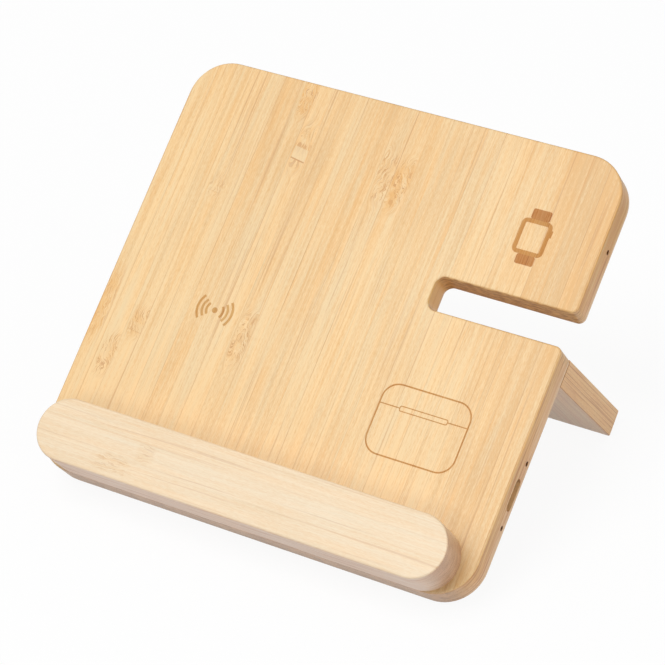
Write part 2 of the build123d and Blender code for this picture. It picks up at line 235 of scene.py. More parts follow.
# The wood's middle tone, and how much darker the face gets: towards its top with each millimetre, where
# painted sheen makes the lower face paler, and towards its right edge in all
MEAN_TONE = 0.36
SHEEN_FADE_UP_FROM = 110.0
SHEEN_FADE_UP = 0.0024
DARKER_ACROSS_FROM = 140.0
DARKER_ACROSS = 0.28

# Dark veins in the strips
VEIN = (0.60, 0.78)
VEIN_SHARE = 0.42

# Dark lines where strips meet: the least half width, and how much it can be more
SEAM_HALF_WIDTH = 0.12
SEAM_WANDER = 0.26

# A cane node's mark is a box with soft sides. Its raised ridge, which has a painted highlight, and the
# painted shadow line along the ridge's lower edge, are in shares of its half size.
BOX_POWER = 6.0
SPLAY = 0.8
RIDGE_TILT = 0.05
RIDGE_BOTTOM = (-0.42, -0.38)
RIDGE_TOP = (0.02, -0.04)
RIDGE_SIDES = (0.82, 0.74)
RIDGE_SHADOW_UP = -0.41
RIDGE_SHADOW_FADE = (0.035, 0.0)

# The wood's bump: its strength, its depth in millimetres and what the patterns add to it
BUMP_STRENGTH = 0.25
BUMP_DEPTH = 0.05
HAIR_RELIEF = 0.5
FIBRE_RELIEF = 0.8
SEAM_RELIEF = -1.2
RIDGE_RELIEF = 6.0
STREAK_RELIEF = 5.0

# How much the wood's roughness varies, and how much smoother its cut ends are
ROUGHNESS_RANGE = 0.12
END_SMOOTHER = -0.03

# How strongly a sign is burnt, at the least and where its fibres are dense
LEAST_BURN = 0.62
FIBRE_BURN = 0.5

# The far tint of a long side, by depth, and its high tint, by height. Below that height the paler, pinker
# far tint is a painted reflection of the floor.
FAR_TINT_DEPTH = (-3.0, -11.0)
HIGH_TINT_UP = (125.0, 168.0)

# Slot walls in mottled patches, in colours lightened and warmed as painted bounce light: how far round the
# slot, and how far in from its closed end
SLOT_PAINT_BESIDE = 3.0
SLOT_PAINT_BELOW = 3.0
SLOT_PAINT_ABOVE = 1.6
SLOT_PAINT_FADE = 2.0
SLOT_BOUNCE_PALE = linear(250, 207, 138)
SLOT_BOUNCE_DARK = linear(186, 134, 80)
SLOT_END_BOUNCE = linear(246, 196, 106)
SLOT_END_BOUNCE_REACH = (11.0, 5.0)
SLOT_BOUNCE_CLEARED = 0.25

# Painted shadow on the face round the lip, by the distance from its wall
LIP_PAINTED_SHADOW = linear(235, 236, 238)
LIP_PAINTED_SHADOW_REACH = (12.5, 1.5)

# Painted shade on the rims of the light holes, by the distance from their middle and from the board's edge
HOLE_PAINTED_SHADE = linear(158, 128, 98)
HOLE_SHADE_REACH = (1.35, 0.95)
HOLE_SHADE_INSET = (5.0, 4.0)

# Painted light on the walls of the opening in front of the socket: half its length, how far in from the
# board's edge, and its depth
SOCKET_PAINTED_LIGHT = linear(255, 208, 150)
SOCKET_LIGHT_SHARE = 0.8
SOCKET_LIGHT_HALF_LENGTH = (6.4, 5.8)
SOCKET_LIGHT_INSET = (0.2, 0.6)
SOCKET_LIGHT_END = (8.0, 7.0)
SOCKET_LIGHT_DEPTH = (-3.0, -4.0)


def from_right_edge(insets):
    """Places across the board for distances from its right edge."""
    return [BOARD_WIDTH - inset for inset in insets]


class Bamboo(Finish):
    """Bamboo strips glued edge to edge, each with its own shade and its own fibres."""

    def __init__(self, name, frame_matrix, shades, strip_width, strip_start=0.0, along="Y", seed=0.0,
                 contrast=1.0, tanned=False, roughness=0.42, specular=0.5):
        super().__init__(name, roughness, specular)
        self.shades = shades
        self.tanned = tanned
        self.seed = seed
        self.contrast = contrast
        self.roughness = roughness
        self.frame_matrix = frame_matrix
        self.axes = (0, 1, 2) if along == "Y" else (1, 0, 2)
        x, y, self.depth = self.parts(self.seen_in(frame_matrix))
        self.across, self.length = (x, y) if along == "Y" else (y, x)
        self.strip_width = strip_width
        self.count = self.math("DIVIDE", self.minus(self.across, strip_start), strip_width)
        self.strip = self.math("FLOOR", self.count)
        self.luck_one = self.luck(self.plus(self.strip, seed + SHADE_DRAW))
        self.luck_two = self.luck(self.plus(self.strip, seed + HUE_DRAW))
        sway = self.noise(self.stretched(across=0.09, along=0.022, layer=self.strip), detail=1.0)
        self.sway = self.times(self.minus(sway, 0.5), SWAY)

    def stretched(self, across, along, layer):
        """A place for a pattern on the face, with its scales across the fibres and along them."""
        return self.point(self.times(self.across, across), self.times(self.length, along), layer)

    def fibres(self, across, along, detail, rough=0.5, far=0.0):
        """Noise drawn out along the fibres of each strip."""
        x = self.scaled(self.plus(self.across, self.sway), across, far)
        y = self.times(self.plus(self.length, self.times(self.luck_one, STRIP_SHIFT_ALONG)), along)
        z = self.times(self.plus(self.depth, self.times(self.luck_two, STRIP_SHIFT_DEEP)), across)
        return self.noise(self.point(x, y, z), detail, rough)

    def turned_to(self, axis):
        """How far the surface faces along one axis of the piece's own frame."""
        normal = self.node("ShaderNodeNewGeometry").outputs["Normal"]
        turned = self.node("ShaderNodeVectorTransform", normal, vector_type="NORMAL", convert_from="WORLD",
                           convert_to="OBJECT").outputs[0]
        direction = self.frame_matrix.to_3x3().inverted().col[self.axes[axis]].normalized()
        shares = [self.times(part, share) for part, share in zip(self.parts(turned), direction)]
        return self.size_of(self.plus(*shares))

    def side(self):
        return self.step(self.turned_to(ACROSS), *SIDE_FACING)

    def add_cane_nodes(self, cane_nodes):
        """Rings of the cane: fibres swerve and splay there, and a stained ridge may stand up."""
        wobble = self.minus(self.noise(self.stretched(across=0.42, along=0.30, layer=self.strip)), 0.5)
        marks, stains, ridges, swerves, ridge_shadows = [], [], [], [], []
        for ring in cane_nodes:
            aside = self.math("DIVIDE", self.minus(self.across, ring.across), ring.half_width)
            up = self.math("DIVIDE", self.minus(self.length, ring.up), ring.half_height)
            reach = self.plus(self.math("POWER", self.size_of(aside), BOX_POWER), self.times(up, up))
            mark = self.times(self.step(reach, 1.0, 0.0), ring.strength)
            splay = self.times(aside, up, SPLAY * ring.half_width)
            slant = self.times(up, ring.slant)
            mirrored = self.times(self.minus(self.size_of(aside), aside), ring.chevron)
            drift = self.plus(self.times(wobble, ring.swerve), splay, slant, mirrored)
            tilted = self.plus(up, self.times(aside, RIDGE_TILT))
            width_edge = self.step(self.size_of(aside), *RIDGE_SIDES)
            ridge = self.times(self.step(tilted, *RIDGE_BOTTOM), self.step(tilted, *RIDGE_TOP), width_edge)
            ridge_shadow = self.step(self.size_of(self.minus(tilted, RIDGE_SHADOW_UP)), *RIDGE_SHADOW_FADE)
            swerves.append(self.times(drift, mark))
            ridges.append(self.times(ridge, ring.rise))
            ridge_shadows.append(self.times(ridge_shadow, width_edge, ring.rise))
            marks.append(mark)
            stains.append(self.times(mark, ring.stain))
        self.cane = self.plus(*marks)
        self.stained = self.plus(*stains)
        self.ridge = self.plus(*ridges)
        self.ridge_shadow = self.plus(*ridge_shadows)
        self.sway = self.plus(self.sway, *swerves)

    def wood(self):
        """The strips' own colour."""
        shades, contrast = self.shades, self.contrast
        self.fine = self.fibres(across=1.9, along=0.02, detail=4.0, rough=0.68)
        self.hair = self.fibres(across=8.5, along=0.13, detail=1.0, far=80.0)
        middling = self.fibres(across=0.85, along=0.013, detail=2.0, far=160.0)
        broad = self.fibres(across=0.34, along=0.011, detail=2.0)
        dash = self.fibres(across=4.6, along=0.5, detail=2.0, far=40.0)
        vein = self.fibres(across=0.95, along=0.012, detail=1.0, far=120.0)
        drift = self.noise(self.stretched(across=0.05, along=0.03, layer=self.seed), detail=1.0)
        waves = ((self.fine, 1.6), (middling, 0.9), (broad, 0.9), (self.luck_one, 0.34), (drift, 0.4),
                 (dash, 1.8))
        tones = [self.times(self.minus(wave, 0.5), share * contrast) for wave, share in waves]
        # Painted sheen: the face paler towards its bottom; it also gets darker towards its right edge
        if self.tanned:
            tones.append(self.times(self.minus(self.length, SHEEN_FADE_UP_FROM), SHEEN_FADE_UP))
            tones.append(self.step(self.across, DARKER_ACROSS_FROM, BOARD_WIDTH, 0.0, DARKER_ACROSS))
        tone = self.plus(*tones, MEAN_TONE, clamp=True)
        layer = self.scaled(self.luck_two, STRIP_SHIFT_HUE, self.seed)
        hue = self.noise(self.stretched(across=0.30, along=0.024, layer=layer), detail=2.0, roughness=0.6)
        own_hue = self.scaled(self.luck_two, 0.5, 0.25)
        warmth = self.scaled(self.minus(hue, 0.5), 2.4, own_hue, clamp=True)
        light = self.mix(warmth, shades.pale, shades.warm)
        heavy = self.mix(warmth, shades.dark, shades.dark_warm)
        body = self.mix(tone, light, heavy)
        return self.mix(self.times(self.step(vein, *VEIN), VEIN_SHARE * contrast), body, shades.seam)

    def seams(self, strength):
        """Broken dark lines where the strips meet."""
        joint = self.math("ROUND", self.count)
        wander = self.noise(self.point(self.times(self.length, 0.05), self.strip, 3.0), detail=1.0)
        broken = self.noise(self.point(self.times(self.length, 0.022), joint, self.seed))
        gap = self.times(self.size_of(self.minus(self.count, joint)), self.strip_width)
        line = self.step(gap, self.scaled(wander, SEAM_WANDER, SEAM_HALF_WIDTH), 0.0)
        share = self.scaled(self.luck(self.plus(joint, self.seed + JOINT_DRAW)), 0.8, 0.3)
        return self.times(line, share, self.step(broken, 0.30, 0.66, 0.2 * strength, strength))

    def plies(self, thickness, bend, strength, half_line):
        """Lines between the layers that are glued one on another."""
        wave = self.noise(self.stretched(across=0.05, along=0.02, layer=self.seed), detail=1.0)
        layer = self.math("DIVIDE", self.scaled(wave, bend, self.depth), thickness)
        joint = self.math("ROUND", layer)
        line = self.step(self.size_of(self.minus(layer, joint)), half_line, 0.3 * half_line)
        luck = self.luck(self.plus(joint, self.seed + PLY_DRAW))
        return self.times(line, self.step(luck, 0.2, 0.9, 0.2 * strength, strength))

    def rings_shown(self, body):
        """Streaks and stain of the cane's nodes, a painted highlight on their ridge and a painted shadow
        line along its lower edge.
        """
        shades = self.shades
        swayed = self.plus(self.across, self.sway)
        place = self.point(self.times(swayed, 2.4), self.times(self.length, 0.16), self.strip)
        self.streak = self.noise(place, detail=3.0)
        body = self.mix(self.times(self.step(self.streak, 0.52, 0.60), self.cane, 0.75), body, shades.seam)
        body = self.mix(self.times(self.step(self.streak, 0.46, 0.36), self.cane, 0.7), body, shades.pale)
        cloud = self.noise(self.stretched(across=0.35, along=0.14, layer=self.strip))
        blotch = self.plus(self.times(cloud, 0.4), self.times(self.fine, 0.6))
        flush = self.math("MULTIPLY", self.stained, self.step(blotch, 0.36, 0.60), clamp=True)
        body = self.mix(self.times(flush, 0.85), body, shades.stain)
        # Painted highlight on the raised ridge, and painted shadow along its lower edge
        body = self.mix(self.times(self.ridge, 0.6), body, shades.pale)
        return self.mix(self.times(self.ridge_shadow, 0.75), body, shades.seam)

    def ends_cut(self, body, end):
        """Cut ends of the fibres: darker, dotted with pores and banded."""
        pores = self.noise(self.point(self.across, self.depth, self.seed), scale=3.2)
        place = self.point(self.times(self.across, 0.16), self.times(self.depth, 0.6), self.strip)
        band = self.scaled(self.minus(self.luck_two, 0.5), 0.14, self.noise(place, detail=3.0))
        cut = self.mix(self.step(band, 0.36, 0.68), self.shades.end, self.shades.end_dark)
        cut = self.mix(self.step(pores, 0.40, 0.70, 0.0, 0.6), cut, body)
        return self.mix(self.times(end, 0.8), body, cut)

    def sides_shown(self, body, tints):
        """Long sides: streaks along the fibres, and tints that change to the back and to the top; the
        paler, pinker tint towards the back, below the top, is a painted reflection of the floor.
        """
        place = self.point(self.times(self.depth, 0.7), self.times(self.length, 0.03), self.seed)
        streak = self.noise(place, detail=3.0)
        dark_share = self.step(streak, 0.50, 0.68, 0.0, 0.5 * tints.streaks)
        pale_share = self.step(streak, 0.50, 0.34, 0.0, 0.6 * tints.streaks)
        streaked = self.mix(dark_share, body, self.shades.seam)
        streaked = self.mix(pale_share, streaked, self.shades.pale)
        # Painted reflection of the floor: the side paler and pinker towards the back, golden at the top
        tint = self.mix(self.step(self.depth, *FAR_TINT_DEPTH), tints.near, tints.far)
        tint = self.mix(self.step(self.length, *HIGH_TINT_UP), tint, tints.high)
        return self.mix(self.side(), body, self.mix(1.0, streaked, tint, "MULTIPLY"))

    def slot_mottled_with_painted_bounce(self, body, end):
        """Walls of the slot: mottled patches of end grain, in colours lightened and warmed as painted
        bounce light.
        """
        left = SLOT_START - SLOT_PAINT_BESIDE
        low = SLOT_BOTTOM - SLOT_PAINT_BELOW
        high = SLOT_TOP + SLOT_PAINT_ABOVE
        near = self.times(self.step(self.across, left - SLOT_PAINT_FADE, left),
                          self.step(self.length, low - SLOT_PAINT_FADE, low),
                          self.step(self.length, high + SLOT_PAINT_FADE, high))
        patchy = self.noise(self.point(self.times(self.across, 0.24), self.depth, 7.0))
        # Painted bounce light: the slot's own lighter, warmer colours, in mottled patches
        slot_colour = self.mix(self.step(patchy, 0.38, 0.62), SLOT_BOUNCE_PALE, SLOT_BOUNCE_DARK)
        fade = (SLOT_START + reach for reach in SLOT_END_BOUNCE_REACH)
        closed_end = self.times(self.side(), self.step(self.across, *fade))
        slot_colour = self.mix(closed_end, slot_colour, SLOT_END_BOUNCE)
        slot_colour = self.mix(SLOT_BOUNCE_CLEARED, slot_colour, body)
        return self.mix(self.times(near, self.math("MAXIMUM", end, self.side())), body, slot_colour)

    def painted_shadow_round_lip(self, body):
        """Painted shadow: the face is a little darker close round the lip."""
        middle = self.math("MINIMUM", self.math("MAXIMUM", self.across, LIP_START), LIP_END)
        off = self.distance(self.point(self.across, self.length, 0.0), self.point(middle, LIP_RADIUS, 0.0))
        fade = (LIP_RADIUS + reach for reach in LIP_PAINTED_SHADOW_REACH)
        near = self.times(self.step(off, *fade), self.step(self.turned_to(OUTWARD), *FACE_FACING))
        return self.mix(near, body, LIP_PAINTED_SHADOW, "MULTIPLY")

    def holes_painted_shade(self, body):
        """Painted shade: dark rims of the small holes that the lights shine through."""
        place = self.point(0.0, self.length, self.depth)
        marks = [self.step(self.distance(place, (0.0, hole.y, hole.z)), *HOLE_SHADE_REACH)
                 for hole in LIGHT_HOLES]
        near = self.times(self.step(self.across, *from_right_edge(HOLE_SHADE_INSET)), self.plus(*marks))
        return self.mix(near, body, HOLE_PAINTED_SHADE, "MULTIPLY")

    def socket_painted_light(self, body):
        """Painted light: paler walls of the opening in front of the socket."""
        off = self.size_of(self.minus(self.length, SOCKET_UP))
        near = self.times(self.step(off, *SOCKET_LIGHT_HALF_LENGTH),
                          self.step(self.across, *from_right_edge(SOCKET_LIGHT_INSET)),
                          self.step(self.across, *from_right_edge(SOCKET_LIGHT_END)),
                          self.step(self.depth, *SOCKET_LIGHT_DEPTH))
        return self.mix(self.times(near, SOCKET_LIGHT_SHARE), body, SOCKET_PAINTED_LIGHT)


def bamboo(name, frame_matrix, shades, strip_width, strip_start=0.0, cane_nodes=(), seam_strength=1.0,
           plies=None, end_plies=None, side_tints=None, worked_with_painted_light=False, burnt=None, **settings):
    """A bamboo material. Plies, tints, worked walls with painted light and shade at them and round the lip,
    and burning are added where a piece has them.
    """
    wood = Bamboo(name, frame_matrix, shades, strip_width, strip_start, **settings)
    if cane_nodes:
        wood.add_cane_nodes(cane_nodes)
    body = wood.wood()
    end = wood.step(wood.turned_to(ALONG), *END_FACING)
    lines = wood.times(wood.seams(seam_strength), wood.step(wood.turned_to(OUTWARD), 0.3, 0.8, 0.25, 1.0))
    if plies:
        lines = wood.math("MAXIMUM", lines, wood.plies(*plies))
    body = wood.mix(lines, body, shades.seam)
    height = wood.plus(wood.times(wood.hair, HAIR_RELIEF), wood.times(wood.fine, FIBRE_RELIEF),
                       wood.times(lines, SEAM_RELIEF))
    if cane_nodes:
        body = wood.rings_shown(body)
        height = wood.plus(height, wood.times(wood.ridge, RIDGE_RELIEF),
                           wood.times(wood.streak, wood.cane, STREAK_RELIEF))
    body = wood.ends_cut(body, end)
    if end_plies:
        body = wood.mix(wood.times(wood.plies(*end_plies), end), body, shades.end_dark)
    if side_tints:
        body = wood.sides_shown(body, side_tints)
    if worked_with_painted_light:
        # Painted bounce light in the slot, painted shadow round the lip, painted shade in the light holes
        # and painted light at the socket
        body = wood.slot_mottled_with_painted_bounce(body, end)
        body = wood.painted_shadow_round_lip(body)
        body = wood.holes_painted_shade(body)
        body = wood.socket_painted_light(body)
    if burnt:
        body = wood.mix(wood.scaled(wood.fine, FIBRE_BURN, LEAST_BURN, clamp=True), body, burnt, "MULTIPLY")
    roughness = wood.plus(wood.times(wood.fine, ROUGHNESS_RANGE), wood.times(end, END_SMOOTHER),
                          wood.roughness - ROUGHNESS_RANGE / 2)
    return wood.finish(body, roughness, height, BUMP_STRENGTH, BUMP_DEPTH)


# Cane nodes where the photo shows the main ones on the face, and a few on each other piece

FACE_CANE_NODES = (
    CaneNode(60.2, 160.2, half_width=4.3, half_height=14.0, strength=0.8, stain=0.3, rise=1.1,
             swerve=2.5, slant=4.5, chevron=4.3),
    CaneNode(53.6, 183.5, half_width=3.9, half_height=14.0, strength=1.0, stain=0.8, swerve=3.5,
             slant=3.0, chevron=3.9),
    CaneNode(100.4, 157.5, half_width=4.2, half_height=16.0, strength=1.0, stain=0.3, swerve=3.5,
             slant=-4.0),
    CaneNode(108.0, 155.5, half_width=4.2, half_height=15.0, strength=1.2, stain=0.6, swerve=4.0,
             slant=4.0),
    CaneNode(29.6, 134.5, half_width=3.8, half_height=6.5, strength=0.6, stain=-0.6, rise=0.3),
    CaneNode(68.2, 74.5, half_width=4.2, half_height=15.0, strength=1.0, stain=0.3, swerve=3.5,
             slant=4.0, chevron=4.2),
    CaneNode(21.0, 68.5, half_width=4.2, half_height=9.5, strength=1.0, stain=0.4, rise=0.35,
             swerve=3.5, slant=3.0),
    CaneNode(13.4, 52.0, half_width=4.0, half_height=12.0, strength=1.0, stain=0.3, swerve=3.0,
             slant=4.0),
    CaneNode(2.6, 73.0, half_width=4.4, half_height=22.0, strength=0.6, stain=1.0),
)
PANEL_CANE_NODES = (
    CaneNode(48.0, 60.0, half_width=9.0, half_height=9.0, strength=0.7, stain=0.5),
    CaneNode(90.0, 132.0, half_width=9.0, half_height=10.0, strength=0.7, stain=0.4),
    CaneNode(152.0, 44.0, half_width=9.0, half_height=9.0, strength=0.6, stain=0.5),
)
LIP_CANE_NODES = (
    CaneNode(13.8, 58.0, half_width=4.6, half_height=5.0, strength=0.5, stain=0.6),
    CaneNode(6.2, 46.0, half_width=4.4, half_height=12.0, strength=0.5, stain=0.7),
)
LEG_CANE_NODES = (
    CaneNode(64.0, 40.0, half_width=9.0, half_height=10.0, strength=0.7, stain=0.5),
    CaneNode(142.0, 24.0, half_width=9.0, half_height=8.0, strength=0.6, stain=0.4),
)

GOLDEN = Shades(pale=linear(243, 214, 164), warm=linear(250, 213, 155), dark=linear(226, 182, 122),
                dark_warm=linear(235, 183, 114), seam=linear(196, 134, 74), stain=linear(234, 172, 84),
                end=linear(206, 158, 114), end_dark=linear(148, 96, 60))
CREAM = Shades(pale=linear(244, 225, 194), warm=linear(249, 225, 190), dark=linear(233, 203, 160),
               dark_warm=linear(239, 203, 155), seam=linear(206, 160, 112), stain=linear(234, 190, 126),
               end=linear(216, 166, 126), end_dark=linear(190, 138, 98))
TAWNY = Shades(pale=linear(243, 208, 148), warm=linear(247, 204, 142), dark=linear(222, 171, 106),
               dark_warm=linear(228, 167, 102), seam=linear(180, 104, 44), stain=linear(226, 176, 112),
               end=linear(206, 150, 92), end_dark=linear(168, 112, 66))
BOARD_SIDE = SideTints(near=linear(250, 232, 200), far=linear(255, 244, 244), high=linear(236, 214, 164),
                       streaks=1.7)
PANEL_SIDE = SideTints(*[linear(255, 250, 255)] * 3)
LEG_SIDE = SideTints(*[linear(255, 243, 224)] * 3, streaks=0.5)
LIP_SIDE = SideTints(*[linear(255, 249, 249)] * 3, streaks=1.4)
LEG_PLIES = Plies(thickness=1.6, bend=0.5, strength=0.8, half_line=0.11)
LIP_END_PLIES = Plies(thickness=1.25, bend=0.8, strength=0.9, half_line=0.2)
FACE_STRIPS = {"frame_matrix": WORLD_TO_BOARD, "shades": GOLDEN, "strip_width": 7.95, "strip_start": 0.55}
DOWEL_TURN = Matrix.Rotation(math.pi / 2, 4, "X")


def burnt_bamboo(name, shade, **settings):
    """The face's bamboo under a burnt sign."""
    return bamboo(name, burnt=shade, roughness=0.7, specular=0.25, **FACE_STRIPS, **settings)


board_bamboo = bamboo("board_bamboo", cane_nodes=FACE_CANE_NODES, seam_strength=0.7, side_tints=BOARD_SIDE,
                      worked_with_painted_light=True, tanned=True, **FACE_STRIPS)
panel_bamboo = bamboo("panel_bamboo", WORLD_TO_BOARD, GOLDEN, strip_width=21.0, strip_start=6.0,
                      cane_nodes=PANEL_CANE_NODES, side_tints=PANEL_SIDE, seed=200.0)
pale_bamboo = bamboo("pale_bamboo", WORLD_TO_BOARD, CREAM, strip_width=9.2, strip_start=-0.6, along="X",
                     cane_nodes=LIP_CANE_NODES, seam_strength=0.25, end_plies=LIP_END_PLIES,
                     side_tints=LIP_SIDE, seed=400.0, contrast=0.85)
leg_bamboo = bamboo("leg_bamboo", WORLD_TO_LEG, TAWNY, strip_width=19.5, strip_start=4.0,
                    cane_nodes=LEG_CANE_NODES, plies=LEG_PLIES, side_tints=LEG_SIDE, seed=600.0,
                    roughness=0.36)
dowel_wood = bamboo("dowel_wood", DOWEL_TURN @ WORLD_TO_BOARD, TAWNY, strip_width=60.0, strip_start=-31.0,
                    seed=800.0, contrast=1.3)
faintly_burnt = burnt_bamboo("faintly_burnt", linear(222, 196, 158))
burnt_line = burnt_bamboo("burnt_line", linear(210, 172, 124))
burnt_patch = burnt_bamboo("burnt_patch", linear(196, 148, 104), contrast=2.2)


# Metal, plastic and rubber: a fine grain on broad clouds, with a shallow bump

CLOUD_SCALE = 0.08
CLOUD_SHARE = 0.6
GRAIN_SHARE = 0.4
GRAIN_BUMP = 0.3
GRAIN_DEPTH = 0.02
WEAR_RANGE = 0.16


def grained(name, shade, other, scale, roughness=0.5, metallic=0.0, depth=GRAIN_DEPTH):
    """A fine uneven grain between two shades."""
    finish = Finish(name, roughness, metallic=metallic)
    place = finish.seen_in(WORLD_TO_BOARD)
    grain = finish.noise(place, detail=3.0, roughness=0.6, scale=scale)
    cloud = finish.noise(place, detail=1.0, scale=CLOUD_SCALE * scale)
    share = finish.plus(finish.times(cloud, CLOUD_SHARE), finish.times(grain, GRAIN_SHARE))
    worn = finish.scaled(grain, WEAR_RANGE, roughness - WEAR_RANGE / 2)
    return finish.finish(finish.mix(share, shade, other), worn, grain, GRAIN_BUMP, depth)


def enamelled_wire(name):
    """Copper wire under clear enamel, with drawn streaks."""
    finish = Finish(name, roughness=0.3, metallic=1.0)
    place = finish.seen_in(WORLD_TO_BOARD)
    streak = finish.noise(place, detail=3.0, roughness=0.6, scale=1.6)
    dull = finish.noise(place, detail=1.0, scale=0.25)
    share = finish.plus(finish.times(streak, 0.5), finish.times(dull, 0.5))
    colour = finish.mix(share, linear(176, 92, 48), linear(226, 142, 88))
    return finish.finish(colour, finish.scaled(dull, 0.2, 0.2), streak, GRAIN_BUMP, GRAIN_DEPTH)


screw_steel = grained("screw_steel", linear(150, 150, 148), linear(196, 196, 192), scale=2.2,
                      roughness=0.34, metallic=1.0)
socket_steel = grained("socket_steel", linear(168, 168, 170), linear(206, 206, 208), scale=3.0,
                       roughness=0.28, metallic=1.0)
magnet_nickel = grained("magnet_nickel", linear(176, 174, 168), linear(210, 208, 202), scale=2.0,
                        roughness=0.22, metallic=1.0)
contact_gold = grained("contact_gold", linear(214, 170, 80), linear(236, 200, 120), scale=5.0,
                       roughness=0.25, metallic=1.0)
foot_rubber = grained("foot_rubber", linear(30, 30, 31), linear(54, 54, 55), scale=5.0, roughness=0.78,
                      depth=0.06)
ferrite_grey = grained("ferrite_grey", linear(52, 52, 54), linear(84, 83, 84), scale=3.0, roughness=0.62)
laminate_green = grained("laminate_green", linear(16, 84, 50), linear(26, 112, 70), scale=1.2,
                         roughness=0.38)
chip_black = grained("chip_black", linear(26, 26, 28), linear(44, 44, 46), scale=6.0, roughness=0.55)
tongue_black = grained("tongue_black", linear(20, 20, 22), linear(36, 36, 38), scale=4.0, roughness=0.45)
ceramic_brown = grained("ceramic_brown", linear(128, 92, 58), linear(168, 128, 88), scale=4.0,
                        roughness=0.4)
lead_red = grained("lead_red", linear(164, 30, 26), linear(190, 48, 40), scale=3.0, roughness=0.42)
light_lens = grained("light_lens", linear(52, 46, 42), linear(78, 70, 64), scale=3.0, roughness=0.18)
coil_copper = enamelled_wire("coil_copper")

WORN_BY = {
    board_bamboo: ["front_board"],
    panel_bamboo: ["back_panel"],
    pale_bamboo: ["front_lip"],
    leg_bamboo: ["rear_leg"],
    dowel_wood: ["lip_dowels", "leg_dowels"],
    screw_steel: ["panel_screws"],
    foot_rubber: ["board_feet", "leg_feet"],
    coil_copper: ["phone_coil", "earbuds_coil", "watch_coil"],
    lead_red: ["phone_leads", "earbuds_leads", "watch_coil_leads", "watch_board_leads"],
    ferrite_grey: ["phone_ferrite", "earbuds_ferrite", "watch_ferrite", "power_inductor"],
    magnet_nickel: ["watch_magnet"],
    laminate_green: ["main_circuit_board", "watch_circuit_board"],
    socket_steel: ["usb_socket_shell"],
    tongue_black: ["usb_socket_tongue"],
    chip_black: ["controller_chip"],
    ceramic_brown: ["tuning_capacitors"],
    light_lens: ["lower_light", "middle_light", "upper_light"],
}


def dress(thing, material):
    thing.data.materials.clear()
    thing.data.materials.append(material)


for material, worn_by in WORN_BY.items():
    for node_name in worn_by:
        dress(nodes[node_name], material)


# Pieces

def placed(name, mesh, material, slot, *replaced):
    """A finished piece, whose mesh is already in the world's metres."""
    thing = bpy.data.objects.new(name, mesh)
    scene.collection.objects.link(thing)
    dress(thing, material)
    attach(thing, "root")
    if replaced:
        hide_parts(*replaced)
    return thing


# Signs burnt into the face: a thin scorched layer that stands a hair proud of it

SIGN_RISE = 0.03
SIGN_SINK = 0.05


def arc(across, up, radius, start, end, steps):
    turns = [math.radians(start + (end - start) * i / steps) for i in range(steps + 1)]
    return [(across + radius * math.cos(turn), up + radius * math.sin(turn)) for turn in turns]


def rounded(left, bottom, right, top, radius, steps):
    """The outline of a box with round corners, each corner in so many steps."""
    points = arc(right - radius, bottom + radius, radius, -90, 0, steps)
    points += arc(right - radius, top - radius, radius, 0, 90, steps)
    points += arc(left + radius, top - radius, radius, 90, 180, steps)
    return points + arc(left + radius, bottom + radius, radius, 180, 270, steps)


def two_sides(points, width, closed):
    """The left and right side of a drawn line of even width."""
    count = len(points)
    sides = []
    for i, point in enumerate(points):
        before = points[(i - 1) % count] if closed or i else point
        after = points[(i + 1) % count] if closed or i < count - 1 else point
        run = Vector((after[0] - before[0], after[1] - before[1])).normalized()
        off = Vector((-run.y, run.x)) * width / 2
        sides.append((Vector(point) + off, Vector(point) - off))
    return sides


def burn(name, material, lines=(), patches=()):
    """A sign drawn in lines of even width, closed or open, and in filled outlines."""
    build = bmesh.new()
    for points, width, closed in lines:
        pairs = [[build.verts.new((*place, SIGN_RISE)) for place in pair]
                 for pair in two_sides(points, width, closed)]
        following = pairs[1:] + pairs[:1] if closed else pairs[1:]
        for (left, right), (next_left, next_right) in zip(pairs, following):
            build.faces.new((left, right, next_right, next_left))
    for outline in patches:
        build.faces.new([build.verts.new((*place, SIGN_RISE)) for place in outline])
    grown = bmesh.ops.extrude_face_region(build, geom=build.faces[:])["geom"]
    lower = [item for item in grown if isinstance(item, bmesh.types.BMVert)]
    bmesh.ops.translate(build, verts=lower, vec=(0.0, 0.0, -SIGN_RISE - SIGN_SINK))
    bmesh.ops.recalc_face_normals(build, faces=build.faces)
    mesh = bpy.data.meshes.new(name)
    build.to_mesh(mesh)
    build.free()
    mesh.transform(BOARD_TO_WORLD)
    return placed(name, mesh, material, "board_bamboo")


PHONE_SIGN = (52.04, 82.9)
WAVE_RADII = (3.8, 5.8, 8.05)
WAVE_HALF_ANGLE = 39
WAVE_WIDTH = 1.05
WAVE_STEPS = 16
DOT_RADIUS = 1.25
DOT_CORNERS = 24


def phone_sign():
    waves = []
    for radius in WAVE_RADII:
        for facing in (0, 180):
            wave = arc(*PHONE_SIGN, radius, facing - WAVE_HALF_ANGLE, facing + WAVE_HALF_ANGLE, WAVE_STEPS)
            waves.append((wave, WAVE_WIDTH, False))
    dot = arc(*PHONE_SIGN, DOT_RADIUS, 0, 360 - 360 / DOT_CORNERS, DOT_CORNERS - 1)
    burn("phone_sign", faintly_burnt, waves, [dot])


CASE_LEFT, CASE_BOTTOM, CASE_RIGHT, CASE_TOP = 136.1, 46.1, 175.3, 76.0
CASE_CORNER = 6.8
CASE_LINE = 0.62
CATCH_LEFT, CATCH_BOTTOM, CATCH_RIGHT, CATCH_TOP = 145.2, 65.5, 166.4, 67.6
CATCH_CORNER = 0.7
CATCH_LINE = 0.38
LID_UP = 66.6
LID_LINE = 0.42
LID_CASE_GAP = 0.3
LID_CATCH_GAP = 0.2


